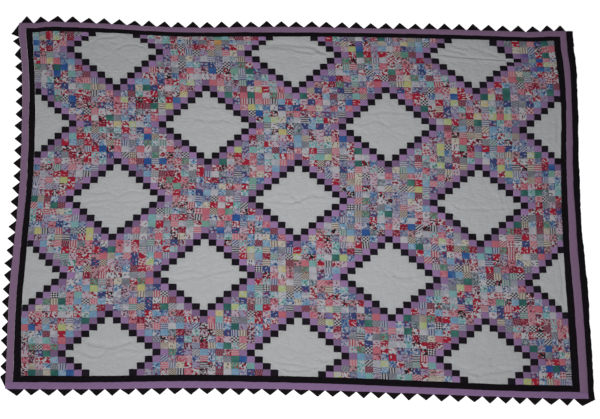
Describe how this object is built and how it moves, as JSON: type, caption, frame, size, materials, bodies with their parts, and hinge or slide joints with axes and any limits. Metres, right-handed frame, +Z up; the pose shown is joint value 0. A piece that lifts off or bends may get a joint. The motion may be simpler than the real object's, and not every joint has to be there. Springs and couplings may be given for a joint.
{
  "type": "postage stamp quilt",
  "caption": "Flat bed quilt pieced from tiny print squares round stepped white diamonds, with plain borders and a saw-tooth edge of folded points.",
  "frame": {"origin": "middle of the outline, on the surface that the quilt lies on", "axes": "+X along the longer side, towards the plain black edge; +Y away from the viewer, along the shorter side; +Z up"},
  "size_m": [1.935, 1.542, 0.0046],
  "materials": {
    "printed_cotton": "matt, washed cotton prints in many colours, with black and lilac squares round the diamonds",
    "white_cotton": "matt, washed plain white cotton, hand quilted",
    "black_cotton": "matt, plain black cotton",
    "lilac_cotton": "matt, plain lilac cotton, hand quilted"
  },
  "bodies": {
    "root": {"black_border_far": "black_cotton", "black_border_left": "black_cotton", "black_border_near": "black_cotton", "black_border_right": "black_cotton", "black_strip_right": "black_cotton", "lilac_border_far": "lilac_cotton", "lilac_border_left": "lilac_cotton", "lilac_border_near": "lilac_cotton", "lilac_border_right": "lilac_cotton", "patchwork_field": "printed_cotton", "prairie_points_far": "black_cotton", "prairie_points_left": "black_cotton", "prairie_points_near": "black_cotton", "white_diamond_1_1": "white_cotton", "white_diamond_1_2": "white_cotton", "white_diamond_1_3": "white_cotton", "white_diamond_2_1": "white_cotton", "white_diamond_2_2": "white_cotton", "white_diamond_2_3": "white_cotton", "white_diamond_2_4": "white_cotton", "white_diamond_3_1": "white_cotton", "white_diamond_3_2": "white_cotton", "white_diamond_3_3": "white_cotton", "white_diamond_4_1": "white_cotton", "white_diamond_4_2": "white_cotton", "white_diamond_4_3": "white_cotton", "white_diamond_4_4": "white_cotton", "white_diamond_5_1": "white_cotton", "white_diamond_5_2": "white_cotton", "white_diamond_5_3": "white_cotton"}
  },
  "joints": []
}
